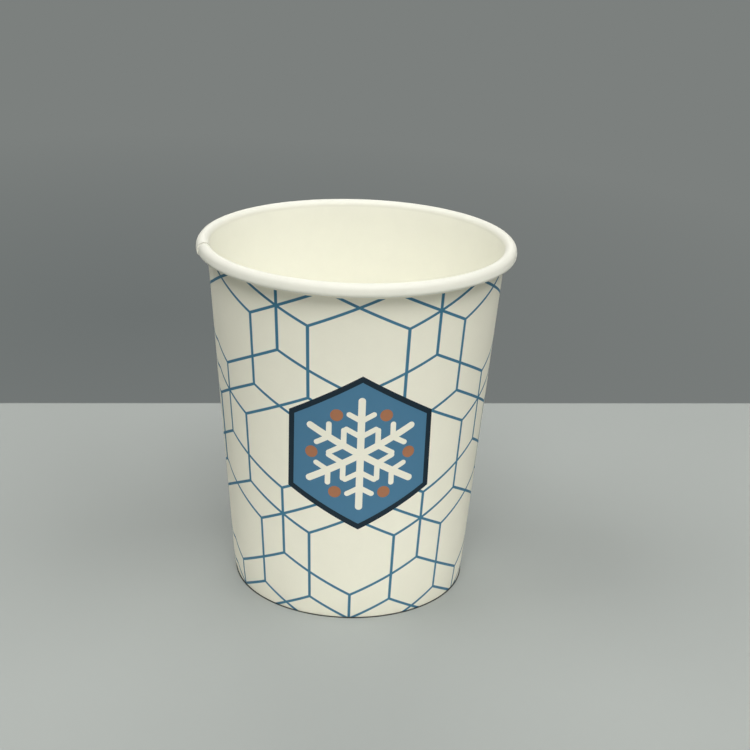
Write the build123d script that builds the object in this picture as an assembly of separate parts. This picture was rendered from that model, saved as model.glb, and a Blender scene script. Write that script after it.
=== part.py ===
from build123d import *
import os
from math import acos, asin, atan2, cos, degrees, hypot, pi, radians, sin, tan

# Paper ice cream cup: a rolled card wall with a lap seam, an outward rolled rim and a tucked hem,
# and a recessed base disc whose skirt the hem holds. Millimetres, +Z up, origin at the middle of
# the base on the table. The seam is on the -X side and the front of the print faces -Y.

# Driving dimensions of the cup
CUP_HEIGHT = 133.5  # table to the top of the rolled rim
RIM_DIAMETER = 117.0  # outside of the rolled rim
HEEL_DIAMETER = 89.8  # outside of the wall level with the top of the base disc
BASE_DIAMETER = 88.2  # outside of the wall where it meets the table

# Card
WALL_BOARD = 0.45  # thickness of the side wall's card
BASE_BOARD = 0.35  # thickness of the base disc's card

# Rolled rim
ROLL_WIDTH = 4.5  # outside of the roll in section, across
ROLL_HEIGHT = 4.9  # outside of the roll in section, upright
ROLL_CLEARANCE = 0.15  # between the roll's raw edge and the lapped wall

# Side seam
SEAM_DIRECTION = 194.5  # degrees round from +X to the covered edge of the sheet
SEAM_LAP = 8.0  # width of the lap, measured half way up the wall
SEAM_RISE = 3.0  # distance in which the covering end climbs one card thickness
LAP_FOOT = 0.9  # table to the trimmed lower end of the covering layer

# Base
DISC_RECESS = 7.0  # table to the underside of the base disc
DISC_BEND = 1.0  # outside radius where the disc turns down into its skirt
HEM_CLEARANCE = 0.8  # between the hem's raw edge and the underside of the disc
SKIRT_CLEARANCE = 0.1  # between the skirt's raw edge and the fold under it
SEAL_CLEARANCE = 0.03  # sealing film on each side of the skirt
FOLD_SETBACK = 0.55  # each corner of the folded bottom edge to where its rounding begins

# Places that follow from the sizes, in the half section: distance from the axis, height
roll_radius = ROLL_WIDTH / 2
roll_center = (RIM_DIAMETER / 2 - roll_radius, CUP_HEIGHT - roll_radius)
hook_drop = ROLL_HEIGHT - ROLL_WIDTH
hook_center = (roll_center[0], roll_center[1] - hook_drop)
heel = (HEEL_DIAMETER / 2, DISC_RECESS + BASE_BOARD)
foot = (BASE_DIAMETER / 2, 0.0)
skirt_space = BASE_BOARD + 2 * SEAL_CLEARANCE
hem_top = DISC_RECESS - HEM_CLEARANCE

# Lean of the wall, tangent to the roll, and of the hem band below the heel, from the vertical
heel_to_roll = (roll_center[0] - heel[0], roll_center[1] - heel[1])
tangent_angle = asin((roll_radius - WALL_BOARD) / hypot(*heel_to_roll))
wall_lean = atan2(*heel_to_roll) - tangent_angle
band_lean = atan2(heel[0] - foot[0], heel[1] - foot[1])

# The roll starts tangent to the wall and stops where its raw edge clears the wall with the lap on it
roll_start = 180 - degrees(wall_lean)
edge_room = 2 * WALL_BOARD + ROLL_CLEARANCE - hook_drop * sin(wall_lean)
roll_end = degrees(acos(1 - edge_room / roll_radius) - wall_lean) - 180

# The lap and the climb as turns about the axis
seam_radius = (heel[0] + roll_center[0]) / 2
lap_turn = degrees(SEAM_LAP / seam_radius)
rise_turn = degrees(SEAM_RISE / seam_radius)


def heel_point(out):
    """Corner between wall and band on the line that lies 'out' beyond the printed face."""
    normals = [(cos(lean), -sin(lean)) for lean in (wall_lean, band_lean)]
    share = 1 + sum(a * b for a, b in zip(*normals))
    return tuple(h + out * sum(n) / share for h, n in zip(heel, zip(*normals)))


def band_point(out, height):
    """Point at a height on the line that lies 'out' beyond the printed face of the hem band."""
    across = out / cos(band_lean)
    return (foot[0] + (height - foot[1]) * tan(band_lean) + across, height)


def roll_arc(center, radius, start, end):
    """Start, middle and end point of an arc of the roll, between two angles in the half section."""
    angles = [radians(turn) for turn in (start, (start + end) / 2, end)]
    return [(center[0] + radius * cos(a), center[1] + radius * sin(a)) for a in angles]


def wall_face(layer):
    """Half section of the roll and wall of one layer: 0 is the first sheet, 1 the lap over it."""
    printed = layer * WALL_BOARD
    food = printed - WALL_BOARD
    edges = []
    ends = []
    for out in (food, printed):
        radius = roll_radius - WALL_BOARD - out
        hook = roll_arc(hook_center, radius, roll_end, 0)
        crown = roll_arc(roll_center, radius, 0, roll_start)
        lower_end = band_point(out, LAP_FOOT)
        edges.append(ThreePointArc(*hook))
        edges.append(Line(hook[-1], crown[0]))
        edges.append(ThreePointArc(*crown))
        edges.append(Polyline(crown[-1], heel_point(out), lower_end))
        ends.append((hook[0], lower_end))
    edges += [Line(*pair) for pair in zip(*ends)]
    return Plane.XZ * make_face(edges)


def hem_face():
    """Half section of the folded bottom edge: the foot of the wall, the fold and the hem."""
    hem_in = -2 * WALL_BOARD - skirt_space
    hem_out = hem_in + WALL_BOARD
    outline = Polyline(
        band_point(0, LAP_FOOT),
        band_point(0, 0),
        band_point(hem_in, 0),
        band_point(hem_in, hem_top),
        band_point(hem_out, hem_top),
        band_point(hem_out, WALL_BOARD),
        band_point(-WALL_BOARD, WALL_BOARD),
        band_point(-WALL_BOARD, LAP_FOOT),
        close=True,
    )
    face = make_face(outline)
    for out, lean in ((0, band_lean), (hem_in, -band_lean)):
        corner = face.vertices().sort_by_distance(band_point(out, 0))[0]
        face = fillet(corner, FOLD_SETBACK * tan((pi / 2 + lean) / 2))
    return Plane.XZ * face


def side_wall():
    """The rolled sheet: one turn, its end climbing over its start, and the folded bottom edge."""
    rise_end = SEAM_DIRECTION + rise_turn
    first_layer = wall_face(0)
    cover_layer = wall_face(1)
    turn = revolve(Rot(Z=rise_end) * first_layer, Axis.Z, 360 - rise_turn)
    lap = revolve(Rot(Z=SEAM_DIRECTION - lap_turn) * cover_layer, Axis.Z, lap_turn)
    climb = loft([Rot(Z=SEAM_DIRECTION) * cover_layer, Rot(Z=rise_end) * first_layer], ruled=True)
    hem = revolve(hem_face(), Axis.Z)
    return turn + lap + climb + hem


def base_disc():
    """The recessed disc with its edge turned down between the wall and the hem."""
    skirt_out = -WALL_BOARD - SEAL_CLEARANCE
    skirt_in = skirt_out - BASE_BOARD
    skirt_foot = WALL_BOARD + SKIRT_CLEARANCE
    top = DISC_RECESS + BASE_BOARD
    outer_corner = band_point(skirt_out, top)
    inner_corner = band_point(skirt_in, DISC_RECESS)
    outline = Polyline(
        (0, top),
        outer_corner,
        band_point(skirt_out, skirt_foot),
        band_point(skirt_in, skirt_foot),
        inner_corner,
        (0, DISC_RECESS),
        close=True,
    )
    face = make_face(outline)
    for corner, radius in ((outer_corner, DISC_BEND), (inner_corner, DISC_BEND - BASE_BOARD)):
        face = fillet(face.vertices().sort_by_distance(corner)[0], radius)
    return revolve(Plane.XZ * face, Axis.Z)


os.makedirs("parts", exist_ok=True)
for node, shape in {"side_wall": side_wall(), "base_disc": base_disc()}.items():
    export_step(shape, f"parts/{node}.step")
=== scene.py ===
"""Paper ice cream cup: printed card wall with a rolled rim, plain base disc and plain studio."""

import logging
import math
from dataclasses import dataclass
from enum import Enum

import bpy
from mathutils import Matrix, Vector

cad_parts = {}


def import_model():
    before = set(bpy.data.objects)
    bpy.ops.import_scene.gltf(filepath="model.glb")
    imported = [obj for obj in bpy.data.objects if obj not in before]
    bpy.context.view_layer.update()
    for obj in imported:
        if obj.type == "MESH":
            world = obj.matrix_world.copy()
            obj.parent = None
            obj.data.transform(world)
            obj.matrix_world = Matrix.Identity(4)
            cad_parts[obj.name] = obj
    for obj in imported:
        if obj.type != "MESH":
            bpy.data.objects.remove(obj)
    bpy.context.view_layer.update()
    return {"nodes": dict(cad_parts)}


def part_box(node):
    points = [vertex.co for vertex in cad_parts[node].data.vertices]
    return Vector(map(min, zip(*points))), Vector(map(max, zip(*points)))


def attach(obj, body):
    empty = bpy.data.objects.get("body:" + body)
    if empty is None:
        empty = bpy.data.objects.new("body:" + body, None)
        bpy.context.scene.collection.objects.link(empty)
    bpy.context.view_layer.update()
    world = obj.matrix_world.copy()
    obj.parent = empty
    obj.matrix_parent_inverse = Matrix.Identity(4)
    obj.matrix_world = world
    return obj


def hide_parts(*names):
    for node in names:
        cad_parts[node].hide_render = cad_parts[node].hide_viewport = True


Socket = bpy.types.NodeSocket
Tree = bpy.types.NodeTree
Point = tuple[float, float, float]
Ramp = tuple[float, ...]

LOG = logging.getLogger("paper_cup")
MM = 0.001
BODY = "root"
FRAME_PIXELS = 750
FRONT_DEGREES = 270.0  # turn from +X to the front of the print
NOISE_SPAN = (0.3, 0.7)  # holds most of a noise texture's values
ARM_ANGLE = math.pi / 3  # between two arms of a snow crystal


class Node(Enum):
    """The node kinds that the trees use, under short names."""

    ATTRIBUTE = "ShaderNodeAttribute"
    COORDINATES = "ShaderNodeTexCoord"
    SPLIT = "ShaderNodeSeparateXYZ"
    JOIN = "ShaderNodeCombineXYZ"
    MATH = "ShaderNodeMath"
    VECTOR = "ShaderNodeVectorMath"
    TURN = "ShaderNodeVectorRotate"
    RANGE = "ShaderNodeMapRange"
    MIX = "ShaderNodeMix"
    NOISE = "ShaderNodeTexNoise"
    BUMP = "ShaderNodeBump"
    GROUP = "ShaderNodeGroup"
    SURFACE = "ShaderNodeBsdfPrincipled"
    GLOW = "ShaderNodeEmission"
    BLEND = "ShaderNodeMixShader"
    RAY = "ShaderNodeLightPath"
    OUTPUT = "ShaderNodeOutputMaterial"
    GROUP_IN = "NodeGroupInput"
    GROUP_OUT = "NodeGroupOutput"
    INDEX = "GeometryNodeInputIndex"
    POSITION = "GeometryNodeInputPosition"
    NAMED = "GeometryNodeInputNamedAttribute"
    DOMAIN_SIZE = "GeometryNodeAttributeDomainSize"
    GRID = "GeometryNodeMeshGrid"
    SAMPLE = "GeometryNodeSampleIndex"
    PLACE = "GeometryNodeSetPosition"
    STORE = "GeometryNodeStoreNamedAttribute"
    FLIP = "GeometryNodeFlipFaces"
    SMOOTH = "GeometryNodeSetShadeSmooth"
    CIRCLE = "GeometryNodeMeshCircle"
    SPHERE = "GeometryNodeMeshUVSphere"
    SHAPE = "GeometryNodeTransform"
    INSTANCES = "GeometryNodeInstanceOnPoints"
    REALIZE = "GeometryNodeRealizeInstances"
    MATERIAL = "GeometryNodeSetMaterial"
    INTEGER = "FunctionNodeIntegerMath"


class Op(Enum):
    """The calculations that the trees use."""

    ABSOLUTE = "ABSOLUTE"
    ARCTAN2 = "ARCTAN2"
    COMPARE = "COMPARE"
    COSINE = "COSINE"
    DEGREES = "DEGREES"
    DISTANCE = "DISTANCE"
    DIVIDE = "DIVIDE"
    DOT_PRODUCT = "DOT_PRODUCT"
    GREATER_THAN = "GREATER_THAN"
    LENGTH = "LENGTH"
    LESS_THAN = "LESS_THAN"
    MAXIMUM = "MAXIMUM"
    MINIMUM = "MINIMUM"
    MULTIPLY = "MULTIPLY"
    MULTIPLY_ADD = "MULTIPLY_ADD"
    PINGPONG = "PINGPONG"
    RADIANS = "RADIANS"
    SINE = "SINE"
    SUBTRACT = "SUBTRACT"


def add(tree: Tree, kind: Node, *values: object, **settings: object) -> bpy.types.Node:
    """Adds one node with its settings and its links.

    Args:
        tree: The node tree to add to.
        kind: The kind of node.
        values: One entry per input in order: a socket to link, a value to set, or None to leave.
        settings: Properties of the node, and "named" for a dict of inputs by name.

    Returns:
        The new node.
    """
    node = tree.nodes.new(kind.value)
    named = settings.pop("named", {})
    for name, value in settings.items():
        setattr(node, name, value)
    for key, value in list(enumerate(values)) + list(named.items()):
        if isinstance(value, Socket):
            tree.links.new(value, node.inputs[key])
        elif value is not None:
            node.inputs[key].default_value = value
    return node


def calc(tree: Tree, operation: Op, *values: object) -> Socket:
    """Adds one calculation with numbers and returns its result."""
    return add(tree, Node.MATH, *values, operation=operation.value).outputs[0]


def measure(tree: Tree, operation: Op, *values: object) -> Socket:
    """Adds one calculation with vectors whose result is a number, and returns that."""
    return add(tree, Node.VECTOR, *values, operation=operation.value).outputs["Value"]


def scaled(tree: Tree, vector: object, share: object) -> Socket:
    """Adds the scaling of a vector or a colour by a number and returns the result."""
    return add(tree, Node.VECTOR, vector, named={"Scale": share}, operation="SCALE").outputs[0]


def blended(tree: Tree, share: Socket, first: object, second: object) -> Socket:
    """Adds the blend of two colours, all second where the share is 1, and returns the result."""
    colours = {6: first, 7: second}
    return add(tree, Node.MIX, share, data_type="RGBA", named=colours).outputs[2]


def turned(tree: Tree, vector: Socket, angle: Socket) -> Socket:
    """Adds the turn of a vector about the cup's axis and returns the result."""
    return add(tree, Node.TURN, vector, named={"Angle": angle}, rotation_type="Z_AXIS").outputs[0]


def srgb(code: str, alpha: float = 1.0) -> tuple[float, float, float, float]:
    """Turns an sRGB hex colour into linear values.

    Args:
        code: Six hex digits.
        alpha: Fourth value of the result.

    Returns:
        Linear red, green and blue, and alpha.
    """
    parts = [int(code[i:i + 2], 16) / 255 for i in (0, 2, 4)]
    linear = [c / 12.92 if c <= 0.04045 else ((c + 0.055) / 1.055) ** 2.4 for c in parts]
    return (*linear, alpha)


def per_metre(size_mm: float) -> float:
    """Noise scale, per metre, whose features are about this many millimetres wide."""
    return 1000.0 / size_mm


class Ink(Enum):
    """Colours of the printing inks and of the bare card, as sRGB."""

    CARD = "F7F4E1"
    LINE = "3F7995"
    FIELD = "4A7B9A"
    OUTLINE = "102633"
    ACCENT = "AA7352"


@dataclass(frozen=True)
class CupSizes:
    """Sizes of the cup, in metres. The first three come from the frame."""

    rim_radius: float
    height: float
    heel_height: float
    heel_radius: float = 44.9 * MM
    foot_radius: float = 44.1 * MM
    roll_radius: float = 2.25 * MM
    face_lean: float = math.radians(6)
    face_length: float = 1.0 * MM
    hook_radius: float = 0.95 * MM
    hook_end: float = math.radians(-160)
    card: float = 0.45 * MM
    skirt_space: float = 0.41 * MM
    fold_radius: float = 0.55 * MM
    hem_top: float = 6.2 * MM
    seam_direction: float = math.radians(193.2)
    seam_lap: float = 8.0 * MM
    seam_rise: float = 3.0 * MM
    lap_foot: float = 0.9 * MM

    @classmethod
    def from_frame(cls) -> "CupSizes":
        """Reads the rim, the height and the level of the base disc from the frame.

        Returns:
            The sizes.
        """
        wall_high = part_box("side_wall")[1]
        disc_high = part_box("base_disc")[1]
        return cls(rim_radius=wall_high[0], height=wall_high[2], heel_height=disc_high[2])

    @property
    def roll_center(self) -> tuple[float, float]:
        """Middle of the rim's roll: distance from the axis, and height."""
        return (self.rim_radius - self.roll_radius, self.height - self.roll_radius)

    @property
    def wall_lean(self) -> float:
        """Lean of the wall from the vertical, tangent to the inside of the roll.

        Returns:
            The angle in radians.
        """
        across = self.roll_center[0] - self.heel_radius
        up = self.roll_center[1] - self.heel_height
        inside = self.roll_radius - self.card
        return math.atan2(across, up) - math.asin(inside / math.hypot(across, up))

    @property
    def band_lean(self) -> float:
        """Lean of the hem band below the heel from the vertical."""
        return math.atan2(self.heel_radius - self.foot_radius, self.heel_height)

    @property
    def seam_radius(self) -> float:
        """Radius half way up the wall, where the lap is measured."""
        return (self.heel_radius + self.roll_center[0]) / 2

    def band_radius(self, inward: float, height: float) -> float:
        """Radius at a height on the line that lies 'inward' of the hem band's printed face."""
        lean = self.band_lean
        return self.foot_radius + height * math.tan(lean) - inward / math.cos(lean)


def arc(center: tuple[float, float], radius: float, start: float, sweep: float,
        steps: int) -> list[Vector]:
    """Points along an arc in the half section.

    Args:
        center: Distance from the axis, and height.
        radius: Radius of the arc.
        start: First angle, in radians from the outward direction.
        sweep: Angle to go through, negative for clockwise.
        steps: Number of equal steps.

    Returns:
        The points, as vectors in the XZ plane.
    """
    angles = [start + sweep * i / steps for i in range(steps + 1)]
    x, z = center
    return [Vector((x + radius * math.cos(a), 0, z + radius * math.sin(a))) for a in angles]


@dataclass(frozen=True)
class CardFinish:
    """Coated cup board: paper under a thin film, a soft satin face with faint fibre clouds."""

    name: str
    colour: str = Ink.CARD.value
    roughness: float = 0.5
    gloss: float = 0.5
    film_ior: float = 1.5
    cloud_mm: float = 6.0
    cloud_detail: float = 3.0
    cloud_depth: float = 0.012
    fibre_mm: float = 0.7
    fibre_detail: float = 2.0
    fibre_share: float = 0.4
    relief_mm: float = 0.012
    relief_strength: float = 0.6
    place_name: str = "print_place"

    def start(self) -> tuple[bpy.types.Material, Tree]:
        """Makes the empty material.

        Returns:
            The material and its tree.
        """
        material = bpy.data.materials.new(self.name)
        material.use_nodes = True
        material.node_tree.nodes.clear()
        return material, material.node_tree

    def ground(self, tree: Tree) -> tuple[Socket, Socket]:
        """Adds the card's own colour and relief.

        Args:
            tree: The material's tree.

        Returns:
            The colour socket and the normal socket.
        """
        place = add(tree, Node.COORDINATES).outputs["Object"]
        cloud = add(tree, Node.NOISE, place, named={
            "Scale": per_metre(self.cloud_mm), "Detail": self.cloud_detail}).outputs[0]
        fibre = add(tree, Node.NOISE, place, named={
            "Scale": per_metre(self.fibre_mm), "Detail": self.fibre_detail}).outputs[0]
        both = add(tree, Node.MIX, self.fibre_share, named={"A": cloud, "B": fibre}).outputs[0]
        low, high = 1 - self.cloud_depth, 1 + self.cloud_depth
        shade = add(tree, Node.RANGE, both, *NOISE_SPAN, low, high).outputs[0]
        tint = scaled(tree, srgb(self.colour)[:3], shade)
        relief = add(tree, Node.BUMP, named={
            "Strength": self.relief_strength, "Distance": self.relief_mm * MM, "Height": fibre})
        return tint, relief.outputs[0]

    def place(self, tree: Tree) -> tuple[Socket, Socket]:
        """Reads the place on the flat blank.

        Args:
            tree: The material's tree.

        Returns:
            Degrees round from the front, and millimetres up from the table.
        """
        blank = add(tree, Node.ATTRIBUTE, attribute_name=self.place_name).outputs["Vector"]
        turn, height, _ = add(tree, Node.SPLIT, blank).outputs
        return turn, height

    def shade(self, tree: Tree, colour: Socket, height: Socket, *ramp: float) -> Socket:
        """Scales a colour by a ramp over the height on the blank.

        Args:
            tree: The material's tree.
            colour: Socket with the colour.
            height: Socket with the height.
            ramp: First and last height, then first and last scale.

        Returns:
            The scaled colour.
        """
        share = add(tree, Node.RANGE, height, *ramp).outputs[0]
        return scaled(tree, colour, share)

    def close(self, tree: Tree, colour: Socket, normal: Socket,
              gloss: Socket | None = None) -> None:
        """Adds the surface and the output.

        Args:
            tree: The material's tree.
            colour: Socket with the colour.
            normal: Socket with the normal.
            gloss: Socket with the share of light that is mirrored, or None for the card's own.
        """
        surface = add(tree, Node.SURFACE, named={
            "Base Color": colour, "Roughness": self.roughness, "IOR": self.film_ior,
            "Specular IOR Level": self.gloss if gloss is None else gloss, "Normal": normal})
        add(tree, Node.OUTPUT, surface.outputs[0])

    def make(self) -> bpy.types.Material:
        """Makes the plain card.

        Returns:
            The material.
        """
        material, tree = self.start()
        self.close(tree, *self.ground(tree))
        return material


@dataclass(frozen=True)
class CoatedCardFinish(CardFinish):
    """Cup board under a food film, bright satin, with painted shade and painted light on the rim.
    """

    colour: str = "F4F3E5"
    roughness: float = 0.6
    # Painted shade on the rim's crown, painted light on the roll's outer face, painted shade under
    # its hook
    painted_rim_shading: tuple[Ramp, ...] = (
        (131.5, 134.0, 1.0, 0.77), (135.6, 137.4, 1.0, 1.27), (138.85, 139.65, 1.0, 0.75))

    def make(self) -> bpy.types.Material:
        """Makes the coated card.

        Returns:
            The material.
        """
        material, tree = self.start()
        colour, normal = self.ground(tree)
        height = self.place(tree)[1]
        # Painted shade and painted light on the rim, over the height on the blank
        for ramp in self.painted_rim_shading:
            colour = self.shade(tree, colour, height, *ramp)
        self.close(tree, colour, normal)
        return material


@dataclass(frozen=True)
class HoneycombPrint:
    """Three overlapping line honeycombs, in degrees round the cup and millimetres up it."""

    cell_turn: float = 63.74
    side_mm: float = 27.18
    line_mm: float = 0.98
    edge_mm: float = 0.12
    tilt_mm_per_degree: float = 0.0112
    slant_degrees_per_mm: float = -0.0059
    first_turn: float = 0.83
    first_height: float = 78.5
    step_turn: float = 12.76
    step_drop: float = 16.12

    @property
    def shifts(self) -> list[tuple[float, float]]:
        """Place of one upright line's middle in each of the three honeycombs.

        Returns:
            Degrees round and millimetres up, once for each honeycomb.
        """
        low = self.first_height - self.step_drop
        turns = [self.first_turn - self.step_turn, self.first_turn + self.step_turn]
        return [(self.first_turn, self.first_height), *((turn, low) for turn in turns)]

    def rule(self) -> Tree:
        """Builds the group that gives the distance to the nearest line, in cell sides.

        Returns:
            The group's tree.
        """
        tree = bpy.data.node_groups.new("honeycomb_rule", "ShaderNodeTree")
        for name in ("Turn", "Height", "Line Turn", "Line Height"):
            tree.interface.new_socket(name, in_out="INPUT", socket_type="NodeSocketFloat")
        tree.interface.new_socket("Distance", in_out="OUTPUT", socket_type="NodeSocketFloat")
        given = add(tree, Node.GROUP_IN).outputs
        # In cell sides: half a cell's width, the rise of a leaning line and the repeat upward
        half_width, slope, repeat_up = math.sqrt(3) / 2, 0.5, 3.0
        folded = []
        for place, line, period, span in (
                ("Turn", "Line Turn", self.cell_turn, 2 * half_width),
                ("Height", "Line Height", repeat_up * self.side_mm, repeat_up)):
            off = calc(tree, Op.SUBTRACT, given[place], given[line])
            cells = calc(tree, Op.MULTIPLY, off, span / period)
            folded.append(calc(tree, Op.PINGPONG, cells, span / 2))
        across, up = folded
        over = calc(tree, Op.MULTIPLY_ADD, up, half_width, -slope * half_width)
        slant = calc(tree, Op.MULTIPLY_ADD, across, -slope, over)
        upper = calc(tree, Op.GREATER_THAN, slant, 0.0)
        mirror = calc(tree, Op.MULTIPLY_ADD, across, -2.0, half_width)
        upright = calc(tree, Op.MULTIPLY_ADD, upper, mirror, across)
        leaning = calc(tree, Op.ABSOLUTE, slant)
        nearest = calc(tree, Op.MINIMUM, leaning, upright)
        add(tree, Node.GROUP_OUT, nearest)
        return tree

    def cover(self, tree: Tree, turn: Socket, height: Socket) -> Socket:
        """Adds the three honeycombs.

        Args:
            tree: The material's tree.
            turn: Degrees round from the front.
            height: Millimetres up from the table.

        Returns:
            A socket that is 1 on the lines and 0 between them.
        """
        rule = self.rule()
        level = calc(tree, Op.MULTIPLY_ADD, turn, self.tilt_mm_per_degree, height)
        round_to = calc(tree, Op.MULTIPLY_ADD, height, self.slant_degrees_per_mm, turn)
        nearest = None
        for line_turn, line_height in self.shifts:
            cells = add(tree, Node.GROUP, node_tree=rule)
            tree.links.new(round_to, cells.inputs["Turn"])
            tree.links.new(level, cells.inputs["Height"])
            cells.inputs["Line Turn"].default_value = line_turn
            cells.inputs["Line Height"].default_value = line_height
            distance = cells.outputs[0]
            if nearest is not None:
                distance = calc(tree, Op.MINIMUM, nearest, distance)
            nearest = distance
        inner = (self.line_mm - self.edge_mm) / 2 / self.side_mm
        outer = (self.line_mm + self.edge_mm) / 2 / self.side_mm
        return add(tree, Node.RANGE, nearest, inner, outer, 1.0, 0.0).outputs[0]


@dataclass(frozen=True)
class CrystalBadge:
    """Plain six-sided badge with a snow crystal, in millimetres on the cup's face."""

    turn: float = 3.64
    height: float = 69.0
    foot_radius: float = 44.3
    radius_rise: float = 0.079
    half_width: float = 26.4
    outline: float = 2.1
    arm_length: float = 21.0
    arm_width: float = 2.6
    twig_width: float = 2.0
    twigs: tuple[tuple[float, float], ...] = ((7.0, 6.0), (13.2, 5.0))
    dot_place: float = 17.6
    dot_radius: float = 2.3

    def layers(self, tree: Tree, turn: Socket, height: Socket) -> list[tuple[Ink, Socket]]:
        """Adds the badge's shapes.

        Args:
            tree: The material's tree.
            turn: Degrees round from the front.
            height: Millimetres up from the table.

        Returns:
            Ink and mask of each shape, from the lowest to the topmost.
        """
        radius = calc(tree, Op.MULTIPLY_ADD, height, self.radius_rise, self.foot_radius)
        off = calc(tree, Op.SUBTRACT, turn, self.turn)
        angle = calc(tree, Op.RADIANS, off)
        across = calc(tree, Op.MULTIPLY, angle, radius)
        up = calc(tree, Op.SUBTRACT, height, self.height)
        spot = add(tree, Node.JOIN, across, up, 0.0).outputs[0]
        reach = measure(tree, Op.LENGTH, spot)
        bearing = calc(tree, Op.ARCTAN2, across, up)
        folded = calc(tree, Op.PINGPONG, bearing, ARM_ANGLE / 2)
        cosine = calc(tree, Op.COSINE, folded)
        sine = calc(tree, Op.SINE, folded)
        along = calc(tree, Op.MULTIPLY, reach, cosine)
        aside = calc(tree, Op.MULTIPLY, reach, sine)
        arm = add(tree, Node.JOIN, along, aside, 0.0).outputs[0]

        side = (math.cos(ARM_ANGLE / 2), math.sin(ARM_ANGLE / 2), 0.0)
        depth = measure(tree, Op.DOT_PRODUCT, arm, side)
        inner = self.half_width - self.outline
        layers = []
        for ink, limit in ((Ink.OUTLINE, self.half_width), (Ink.FIELD, inner)):
            layers.append((ink, calc(tree, Op.LESS_THAN, depth, limit)))

        lines = [((0.0, 0.0), 0.0, self.arm_length, self.arm_width)]
        lines += [((root, 0.0), ARM_ANGLE, length, self.twig_width) for root, length in self.twigs]
        crystal = None
        for root, bend, length, width in lines:
            ahead = (math.cos(bend), math.sin(bend), 0.0)
            beside = (-math.sin(bend), math.cos(bend), 0.0)
            away = add(tree, Node.VECTOR, arm, (*root, 0.0), operation="SUBTRACT").outputs[0]
            run = measure(tree, Op.DOT_PRODUCT, away, ahead)
            drift = measure(tree, Op.DOT_PRODUCT, away, beside)
            held = add(tree, Node.RANGE, run, 0.0, length, 0.0, length).outputs[0]
            past = calc(tree, Op.SUBTRACT, run, held)
            gap = add(tree, Node.JOIN, past, drift, 0.0).outputs[0]
            far = measure(tree, Op.LENGTH, gap)
            mask = calc(tree, Op.LESS_THAN, far, width / 2)
            crystal = mask if crystal is None else calc(tree, Op.MAXIMUM, crystal, mask)
        layers.append((Ink.CARD, crystal))

        dot = tuple(self.dot_place * part for part in side)
        far = measure(tree, Op.DISTANCE, arm, dot)
        layers.append((Ink.ACCENT, calc(tree, Op.LESS_THAN, far, self.dot_radius)))
        return layers


@dataclass(frozen=True)
class PrintedCardFinish(CardFinish):
    """Cup board printed by offset litho: flat ink fields on satin card, the ink a little duller."""

    pattern: HoneycombPrint = HoneycombPrint()
    badge: CrystalBadge = CrystalBadge()
    ink_gloss: float = 0.2
    print_span: tuple[float, float] = (-2.0, 128.1)

    def make(self) -> bpy.types.Material:
        """Makes the printed card.

        Returns:
            The material.
        """
        material, tree = self.start()
        colour, normal = self.ground(tree)
        turn, height = self.place(tree)
        bare = colour
        gloss = self.gloss
        low, high = self.print_span
        inked = calc(tree, Op.COMPARE, height, (low + high) / 2, (high - low) / 2)
        lines = calc(tree, Op.MULTIPLY, self.pattern.cover(tree, turn, height), inked)
        shapes = [(Ink.LINE, lines), *self.badge.layers(tree, turn, height)]
        for ink, mask in shapes:
            paint, shine = srgb(ink.value), self.ink_gloss
            if ink is Ink.CARD:
                paint, shine = bare, self.gloss
            colour = blended(tree, mask, colour, paint)
            gloss = add(tree, Node.MIX, mask, named={"A": gloss, "B": shine}).outputs[0]
        self.close(tree, colour, normal, gloss)
        return material


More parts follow.
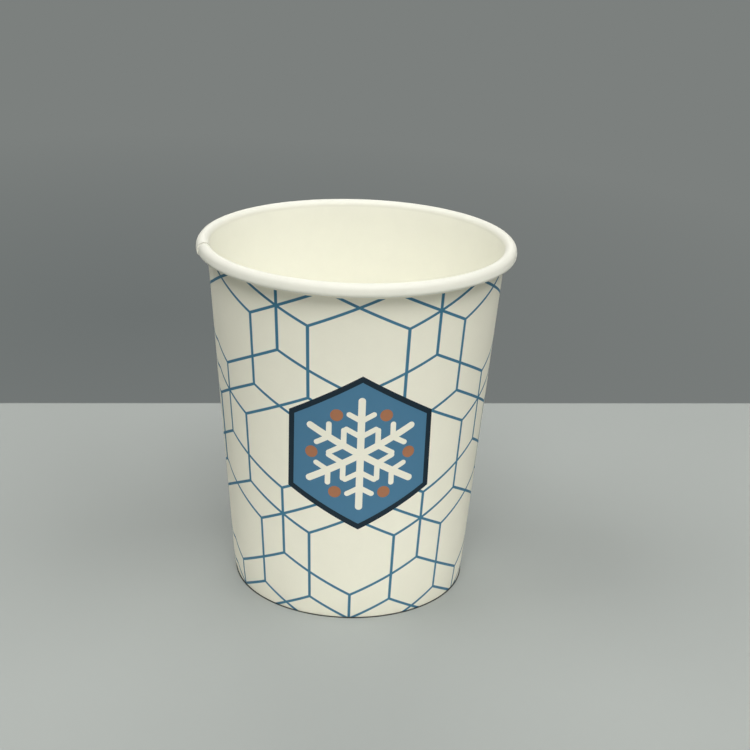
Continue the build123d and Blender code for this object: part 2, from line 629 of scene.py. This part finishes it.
@dataclass
class CupWall:
    """The side wall: one sheet of card, turned once round with a lap, rolled and hemmed."""

    sizes: CupSizes
    name: str = "cup_wall"
    turn_steps: int = 300
    wall_rows: int = 26
    roll_steps: int = 16
    fold_steps: int = 6
    hem_rows: int = 4
    film: float = 0.02 * MM
    flare: float = 0.65
    flare_run: float = 14.0 * MM
    uneven: float = 0.10 * MM
    uneven_mm: float = 60.0
    uneven_detail: float = 1.0
    sharp_angle: float = math.radians(40)

    def section(self) -> list[Vector]:
        """Draws the printed face in the half section.

        Returns:
            Its points, from the hem's raw edge to the roll's.
        """
        s = self.sizes
        inward = 2 * s.card + s.skirt_space
        corners = [s.band_radius(inward, 0) + s.fold_radius, s.band_radius(0, 0) - s.fold_radius]
        points = []
        for i in range(self.hem_rows):
            height = s.hem_top + (s.fold_radius - s.hem_top) * i / self.hem_rows
            points.append(Vector((s.band_radius(inward, height), 0, height)))
        quarter = math.pi / 2
        for corner, start in zip(corners, (math.pi, -quarter)):
            points += arc((corner, s.fold_radius), s.fold_radius, start, quarter, self.fold_steps)
        heel = Vector((s.heel_radius, 0, s.heel_height))
        points.append((points[-1] + heel) / 2)
        inside = math.pi - s.wall_lean
        roll = arc(
            s.roll_center, s.roll_radius - s.card, inside, s.face_lean - inside, self.roll_steps)
        outward = Vector((math.cos(s.face_lean), 0, math.sin(s.face_lean)))
        down = Vector((outward.z, 0, -outward.x))
        hook_center = roll[-1] + down * s.face_length - outward * s.hook_radius
        hook = arc(
            (hook_center.x, hook_center.z), s.hook_radius, s.face_lean, s.hook_end - s.face_lean,
            self.roll_steps)
        points += [heel.lerp(roll[0], i / self.wall_rows) for i in range(self.wall_rows)]
        return points + roll + hook

    def section_mesh(self) -> bpy.types.Mesh:
        """Makes the half section as a chain of edges, with what the sheet needs at each point.

        Returns:
            A mesh with the printed face's normal, the height on the flat blank, the give, and the
            shares of a card's thickness by which the lap climbs and the covered end stands out.
        """
        s = self.sizes
        points = self.section()
        mesh = bpy.data.meshes.new(self.name + "_section")
        mesh.from_pydata(points, [(i, i + 1) for i in range(len(points) - 1)], [])
        lengths = [0.0]
        for before, after in zip(points, points[1:]):
            lengths.append(lengths[-1] + (after - before).length)
        lowest = min(range(len(points)), key=lambda i: (round(points[i].z, 7), -points[i].x))
        normals, heights, laps, flares, gives = [], [], [], [], []
        roll_start = len(points) - 2 * (self.roll_steps + 1)
        least = self.film / (s.card + self.film)
        for i, point in enumerate(points):
            along = points[min(i + 1, len(points) - 1)] - points[max(i - 1, 0)]
            normals.append(Vector((along.z, 0, -along.x)).normalized())
            heights.append((lengths[i] - lengths[lowest]) / MM)
            share = (point.z - s.heel_height) / (s.roll_center[1] - s.heel_height)
            on_wall = i > lowest and 0 < share < 1
            flares.append(self.flare * min(max(2 * (i - roll_start) / self.roll_steps, 0.0), 1.0))
            laps.append(1 - flares[-1] if i > lowest and point.z > s.lap_foot else least)
            gives.append(math.sin(math.pi * share) if on_wall else 0.0)
        mesh.attributes.new("printed_normal", "FLOAT_VECTOR", "POINT").data.foreach_set(
            "vector", [part for normal in normals for part in normal])
        facts = {"blank_height": heights, "lap": laps, "flare": flares, "give": gives}
        for name, values in facts.items():
            mesh.attributes.new(name, "FLOAT", "POINT").data.foreach_set("value", values)
        return mesh

    def sheet_tree(self) -> Tree:
        """Builds the rule that turns the half section round into the lapped sheet.

        Returns:
            The Geometry Nodes tree.
        """
        tree = bpy.data.node_groups.new("rolled_sheet", "GeometryNodeTree")
        tree.interface.new_socket("Section", in_out="INPUT", socket_type="NodeSocketGeometry")
        for name in ("First Edge", "Sheet Turn", "Lap Height", "Climb Begins", "Climb Ends",
                     "Flare Begins", "Flare Ends", "Uneven", "Uneven Scale"):
            tree.interface.new_socket(name, in_out="INPUT", socket_type="NodeSocketFloat")
        tree.interface.new_socket("Steps", in_out="INPUT", socket_type="NodeSocketInt")
        tree.interface.new_socket("Material", in_out="INPUT", socket_type="NodeSocketMaterial")
        tree.interface.new_socket("Sheet", in_out="OUTPUT", socket_type="NodeSocketGeometry")
        given = add(tree, Node.GROUP_IN).outputs
        section = given["Section"]
        rows = add(tree, Node.DOMAIN_SIZE, section).outputs["Point Count"]
        columns = add(tree, Node.INTEGER, given["Steps"], 1, operation="ADD").outputs[0]
        grid = add(tree, Node.GRID, 1.0, 1.0, columns, rows).outputs["Mesh"]
        index = add(tree, Node.INDEX).outputs[0]
        column = add(tree, Node.INTEGER, index, rows, operation="DIVIDE_FLOOR").outputs[0]
        row = add(tree, Node.INTEGER, index, rows, operation="FLOORED_MODULO").outputs[0]

        sampled = {}
        position = add(tree, Node.POSITION).outputs[0]
        for name, kind in (("position", "FLOAT_VECTOR"), ("printed_normal", "FLOAT_VECTOR"),
                           ("blank_height", "FLOAT"), ("lap", "FLOAT"), ("flare", "FLOAT"),
                           ("give", "FLOAT")):
            value = position if name == "position" else add(
                tree, Node.NAMED, name, data_type=kind).outputs["Attribute"]
            sampled[name] = add(
                tree, Node.SAMPLE, section, value, row, data_type=kind, domain="POINT").outputs[0]

        share = calc(tree, Op.DIVIDE, column, given["Steps"])
        gone = calc(tree, Op.MULTIPLY, share, given["Sheet Turn"])
        turn = calc(tree, Op.SUBTRACT, given["First Edge"], gone)
        climb = add(tree, Node.RANGE, gone, given["Climb Begins"], given["Climb Ends"],
                    0.0, given["Lap Height"], interpolation_type="SMOOTHSTEP").outputs[0]
        lift = add(tree, Node.RANGE, gone, given["Flare Begins"], given["Flare Ends"],
                   given["Lap Height"], 0.0, interpolation_type="SMOOTHSTEP").outputs[0]
        flare = calc(tree, Op.MULTIPLY, lift, sampled["flare"])
        lapped_up = calc(tree, Op.MULTIPLY, climb, sampled["lap"])
        height = calc(tree, Op.SUBTRACT, lapped_up, flare)
        raised = scaled(tree, sampled["printed_normal"], height)
        lapped = add(tree, Node.VECTOR, sampled["position"], raised, operation="ADD").outputs[0]
        placed = turned(tree, lapped, turn)

        wave = add(tree, Node.NOISE, placed, named={
            "Scale": given["Uneven Scale"], "Detail": self.uneven_detail}).outputs[0]
        swing = add(tree, Node.RANGE, wave, *NOISE_SPAN, -1.0, 1.0).outputs[0]
        held = calc(tree, Op.MULTIPLY, swing, sampled["give"])
        out = calc(tree, Op.MULTIPLY, held, given["Uneven"])
        facing = turned(tree, sampled["printed_normal"], turn)
        bulge = scaled(tree, facing, out)
        sheet = add(tree, Node.PLACE, grid, None, placed, bulge).outputs[0]

        degrees = calc(tree, Op.DEGREES, turn)
        front = calc(tree, Op.SUBTRACT, degrees, FRONT_DEGREES)
        blank = add(tree, Node.JOIN, front, sampled["blank_height"], 0.0).outputs[0]
        sheet = add(tree, Node.STORE, sheet, None, PrintedCardFinish.place_name, blank,
                    data_type="FLOAT_VECTOR", domain="POINT").outputs[0]
        sheet = add(tree, Node.FLIP, sheet).outputs[0]
        sheet = add(tree, Node.SMOOTH, sheet).outputs[0]
        sheet = add(tree, Node.REALIZE, sheet).outputs[0]
        sheet = add(tree, Node.MATERIAL, sheet, None, given["Material"]).outputs[0]
        add(tree, Node.GROUP_OUT, sheet)
        return tree

    def build(self, printed: bpy.types.Material, coated: bpy.types.Material,
              cut: bpy.types.Material) -> bpy.types.Object:
        """Builds the wall and gives it its thickness.

        Args:
            printed: Finish of the outer face.
            coated: Finish of the inner face, which the roll turns outward.
            cut: Finish of the raw edges.

        Returns:
            The finished piece.
        """
        s = self.sizes
        lap = s.seam_lap / s.seam_radius
        rise = s.seam_rise / s.seam_radius
        piece = new_object(self.name, self.section_mesh())
        for material in (printed, coated, cut):
            piece.data.materials.append(material)
        set_nodes(piece, self.sheet_tree(), {
            "First Edge": s.seam_direction + math.tau, "Sheet Turn": math.tau + lap,
            "Lap Height": s.card + self.film,
            "Climb Begins": math.tau - rise, "Climb Ends": math.tau,
            "Flare Begins": lap / 2, "Flare Ends": lap / 2 + self.flare_run / s.rim_radius,
            "Uneven": self.uneven, "Uneven Scale": per_metre(self.uneven_mm),
            "Steps": self.turn_steps, "Material": printed})
        thick = piece.modifiers.new("card_thickness", "SOLIDIFY")
        thick.thickness = s.card
        thick.offset = -1.0
        thick.use_even_offset = True
        thick.material_offset = 1
        thick.material_offset_rim = 2
        settle(piece)
        for material in (coated, cut):
            piece.data.materials.append(material)
        piece.data.set_sharp_from_angle(angle=self.sharp_angle)
        return piece


@dataclass
class HemKnurl:
    """Pressed ridges inside the hem, where the wall was sealed to the base disc's skirt."""

    sizes: CupSizes
    name: str = "hem_knurl"
    pitch: float = 1.5 * MM
    length: float = 4.2 * MM
    width: float = 0.8 * MM
    proud: float = 0.14 * MM
    segments: int = 8
    rings: int = 5

    def tree(self) -> Tree:
        """Builds the ring of ridges.

        Returns:
            The Geometry Nodes tree.
        """
        tree = bpy.data.node_groups.new("ridge_ring", "GeometryNodeTree")
        for name, kind in (("Ring Radius", "Float"), ("Ring Height", "Float"), ("Lean", "Float"),
                           ("Ridge Size", "Vector"), ("Count", "Int"), ("Material", "Material")):
            tree.interface.new_socket(name, in_out="INPUT", socket_type="NodeSocket" + kind)
        tree.interface.new_socket("Ridges", in_out="OUTPUT", socket_type="NodeSocketGeometry")
        given = add(tree, Node.GROUP_IN).outputs
        ring = add(tree, Node.CIRCLE, given["Count"], given["Ring Radius"]).outputs[0]
        lift = add(tree, Node.JOIN, 0.0, 0.0, given["Ring Height"]).outputs[0]
        ring = add(tree, Node.PLACE, ring, named={"Offset": lift}).outputs[0]
        ridge = add(tree, Node.SPHERE, self.segments, self.rings, 1.0).outputs["Mesh"]
        lean = add(tree, Node.JOIN, 0.0, given["Lean"], 0.0).outputs[0]
        ridge = add(tree, Node.SHAPE, ridge, named={
            "Scale": given["Ridge Size"], "Rotation": lean}).outputs[0]
        index = add(tree, Node.INDEX).outputs[0]
        share = calc(tree, Op.DIVIDE, index, given["Count"])
        turn = calc(tree, Op.MULTIPLY, share, math.tau)
        facing = add(tree, Node.JOIN, 0.0, 0.0, turn).outputs[0]
        ridges = add(tree, Node.INSTANCES, ring, named={
            "Instance": ridge, "Rotation": facing}).outputs[0]
        ridges = add(tree, Node.REALIZE, ridges).outputs[0]
        ridges = add(tree, Node.SMOOTH, ridges).outputs[0]
        ridges = add(tree, Node.MATERIAL, ridges, None, given["Material"]).outputs[0]
        add(tree, Node.GROUP_OUT, ridges)
        return tree

    def build(self, pressed: bpy.types.Material) -> bpy.types.Object:
        """Builds the ridges.

        Args:
            pressed: Finish of the hem's bare face.

        Returns:
            The finished piece.
        """
        s = self.sizes
        height = s.fold_radius + (s.hem_top - s.fold_radius) / 2
        radius = s.band_radius(2 * s.card + s.skirt_space, height)
        piece = new_object(self.name, bpy.data.meshes.new(self.name))
        set_nodes(piece, self.tree(), {
            "Ring Radius": radius, "Ring Height": height, "Lean": s.band_lean,
            "Ridge Size": Vector((self.proud, self.width / 2, self.length / 2)),
            "Count": int(math.tau * radius / self.pitch), "Material": pressed})
        settle(piece)
        return piece


def new_object(name: str, data: bpy.types.ID | None) -> bpy.types.Object:
    """Makes an object in the scene.

    Args:
        name: Its name.
        data: Its mesh, light or camera.

    Returns:
        The object.
    """
    made = bpy.data.objects.new(name, data)
    bpy.context.scene.collection.objects.link(made)
    return made


def set_nodes(piece: bpy.types.Object, tree: Tree, values: dict[str, object]) -> None:
    """Gives a piece a Geometry Nodes tree and sets its named inputs.

    Args:
        piece: The piece.
        tree: The tree.
        values: Input values by name.
    """
    modifier = piece.modifiers.new(tree.name, "NODES")
    modifier.node_group = tree
    for item in tree.interface.items_tree:
        if item.in_out == "INPUT" and item.name in values:
            modifier[item.identifier] = values[item.name]


def settle(piece: bpy.types.Object) -> None:
    """Turns a piece with modifiers into a plain mesh.

    Args:
        piece: The piece.
    """
    depsgraph = bpy.context.evaluated_depsgraph_get()
    mesh = bpy.data.meshes.new_from_object(
        piece.evaluated_get(depsgraph), preserve_all_data_layers=True, depsgraph=depsgraph)
    piece.modifiers.clear()
    piece.data = mesh
    mesh.name = piece.name


@dataclass(frozen=True)
class SoftLamp:
    """One square soft lamp."""

    name: str
    place: Point
    size: float
    power: float

    def build(self, target: Point) -> None:
        """Makes the lamp.

        Args:
            target: The point that it faces.
        """
        light = bpy.data.lights.new(self.name, "AREA")
        light.energy = self.power
        light.shape = "SQUARE"
        light.size = self.size
        lamp = new_object(self.name, light)
        lamp.location = self.place
        aim = Vector(target) - Vector(self.place)
        lamp.rotation_mode = "QUATERNION"
        lamp.rotation_quaternion = aim.to_track_quat("-Z", "Y")


@dataclass
class Studio:
    """Pale floor with painted light and shade, soft lamps all round and the camera at the
    photograph's viewing angle.
    """

    floor_half: float = 6.0
    floor_colour: str = "9CA09C"
    floor_roughness: float = 0.9
    floor_gloss: float = 0.2
    # Painted pool of light, and painted shade beyond it, seen only by light bounced onto the cup
    bounce_near: str = "E8EAE6"
    bounce_far: str = "6C6F6C"
    bounce_middle: Point = (0.01, -0.195, 0.0)
    bounce_ramp: Ramp = (0.105, 0.25, 1.0, 0.0)
    # Painted shade under the cup's foot
    painted_contact_shade_ramp: Ramp = (0.0442, 0.0446, 0.1, 1.0)
    far_colours: tuple[str, str] = ("6D7271", "7C807E")
    far_middle: Point = (-0.12, 0.30, 0.0)
    far_ramp: Ramp = (0.0, 0.5, 0.0, 1.0)
    far_edge: float = 0.1672
    far_slope: float = 0.0717
    far_blur: float = 0.0015
    lamps: tuple[SoftLamp, ...] = (
        SoftLamp("overhead", (0.0, -0.1, 2.0), 1.5, 3.8),
        SoftLamp("overhead_left", (-1.2, -0.1, 1.8), 1.2, 18.2),
        SoftLamp("overhead_right", (1.2, -0.1, 1.8), 1.2, 15.1),
        SoftLamp("front", (0.0, -1.3, 1.85), 1.0, 22.5),
        SoftLamp("front_left", (-1.0, -1.0, 1.45), 0.9, 1.9),
        SoftLamp("front_right", (1.0, -1.0, 1.45), 0.9, 8.0),
        SoftLamp("behind", (0.0, 1.6, 1.7), 1.2, 13.0),
    )
    lamp_target: Point = (0.0, 0.0, 0.07)
    room_colour: str = "FDFEFF"
    room_strength: float = 0.03
    sensor_mm: float = 36.0
    lens_pixels: float = 1502.0
    nearest_seen: float = 0.01
    camera_place: Point = (0.0, -0.5322, 0.2831)
    yaw: float = math.radians(0.873)
    pitch: float = math.radians(20.912)
    roll: float = math.radians(1.885)

    def floor(self) -> bpy.types.Object:
        """Makes the floor, pale round the cup with painted shade under its foot, and darker far
        behind it.

        Returns:
            The floor, marked as stage.
        """
        h = self.floor_half
        mesh = bpy.data.meshes.new("floor")
        mesh.from_pydata([(-h, -h, 0), (h, -h, 0), (h, h, 0), (-h, h, 0)], [], [(0, 1, 2, 3)])
        material = bpy.data.materials.new("matt_paper_floor")
        material.use_nodes = True
        tree = material.node_tree
        tree.nodes.clear()
        place = add(tree, Node.COORDINATES).outputs["Object"]
        behind = (-self.far_slope, 1.0, 0.0)
        depth = measure(tree, Op.DOT_PRODUCT, place, behind)
        far_end = self.far_edge + self.far_blur
        far = add(tree, Node.RANGE, depth, self.far_edge, far_end, 0.0, 1.0).outputs[0]
        seen = add(tree, Node.RAY).outputs["Is Camera Ray"]
        glow = calc(tree, Op.MULTIPLY, far, seen)
        # Painted pool of light that the floor throws back at the cup, brightest in front of it,
        # with painted shade beyond; the camera sees the plain floor colour
        away = measure(tree, Op.DISTANCE, place, self.bounce_middle)
        near = add(tree, Node.RANGE, away, *self.bounce_ramp).outputs[0]
        bounce = blended(tree, near, srgb(self.bounce_far), srgb(self.bounce_near))
        colour = blended(tree, seen, bounce, srgb(self.floor_colour))
        # Painted shade under the cup's foot
        out = measure(tree, Op.LENGTH, place)
        under = add(tree, Node.RANGE, out, *self.painted_contact_shade_ramp).outputs[0]
        colour = scaled(tree, colour, under)
        paper = add(tree, Node.SURFACE, named={
            "Base Color": colour, "Roughness": self.floor_roughness,
            "Specular IOR Level": self.floor_gloss}).outputs[0]
        # The backdrop, which only the camera sees: painted light, a glowing grey, darker round a
        # spot behind the cup
        gone = measure(tree, Op.DISTANCE, place, self.far_middle)
        light = add(tree, Node.RANGE, gone, *self.far_ramp).outputs[0]
        dim, bright = (srgb(code) for code in self.far_colours)
        grey = blended(tree, light, dim, bright)
        distance = add(tree, Node.GLOW, grey).outputs[0]
        surface = add(tree, Node.BLEND, glow, paper, distance)
        add(tree, Node.OUTPUT, surface.outputs[0])
        mesh.materials.append(material)
        made = new_object("floor", mesh)
        return made

    def lights(self) -> None:
        """Makes the lamps and the weak, even light of the room."""
        for lamp in self.lamps:
            lamp.build(self.lamp_target)
        world = bpy.data.worlds.new("even_room")
        bpy.context.scene.world = world
        world.use_nodes = True
        ground = world.node_tree.nodes["Background"]
        ground.inputs["Color"].default_value = srgb(self.room_colour)
        ground.inputs["Strength"].default_value = self.room_strength

    def camera(self) -> None:
        """Makes the camera from its place, its three turns and its lens."""
        data = bpy.data.cameras.new("camera")
        data.sensor_width = self.sensor_mm
        data.lens = data.sensor_width * self.lens_pixels / FRAME_PIXELS
        ahead = Vector((math.sin(self.yaw) * math.cos(self.pitch),
                        math.cos(self.yaw) * math.cos(self.pitch), -math.sin(self.pitch)))
        level = Vector((math.cos(self.yaw), -math.sin(self.yaw), 0.0))
        upright = level.cross(ahead)
        right = level * math.cos(self.roll) + upright * math.sin(self.roll)
        up = upright * math.cos(self.roll) - level * math.sin(self.roll)
        made = new_object("camera", data)
        facing = Matrix((right, up, -ahead)).transposed().to_4x4()
        made.matrix_world = Matrix.Translation(self.camera_place) @ facing
        data.clip_start = self.nearest_seen
        bpy.context.scene.camera = made

    def build(self) -> None:
        """Sets the stage and the view."""
        self.floor()
        self.lights()
        self.camera()
        bpy.context.scene.view_settings.view_transform = "Standard"


def main() -> None:
    """Builds the cup around the frame and reports each piece."""
    logging.basicConfig(level=logging.INFO, format="%(message)s")
    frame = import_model()
    sizes = CupSizes.from_frame()

    printed = PrintedCardFinish("offset_printed_cup_board").make()
    coated = CoatedCardFinish("film_coated_cup_board").make()
    pressed = CardFinish("pressed_bare_cup_board").make()
    cut = CardFinish("cut_edge_of_cup_board", colour="F1EFE2", roughness=0.8, relief_mm=0.03).make()

    wall = CupWall(sizes).build(printed, coated, cut)
    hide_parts("side_wall")
    knurl = HemKnurl(sizes).build(pressed)
    for piece in (wall, knurl):
        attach(piece, BODY)
        LOG.info("%s: %d faces", piece.name, len(piece.data.polygons))

    disc = frame["nodes"]["base_disc"]
    disc.data.materials.clear()
    disc.data.materials.append(coated)
    LOG.info("%s: carried over with a new finish", disc.name)

    Studio().build()


if __name__ == "__main__":
    main()
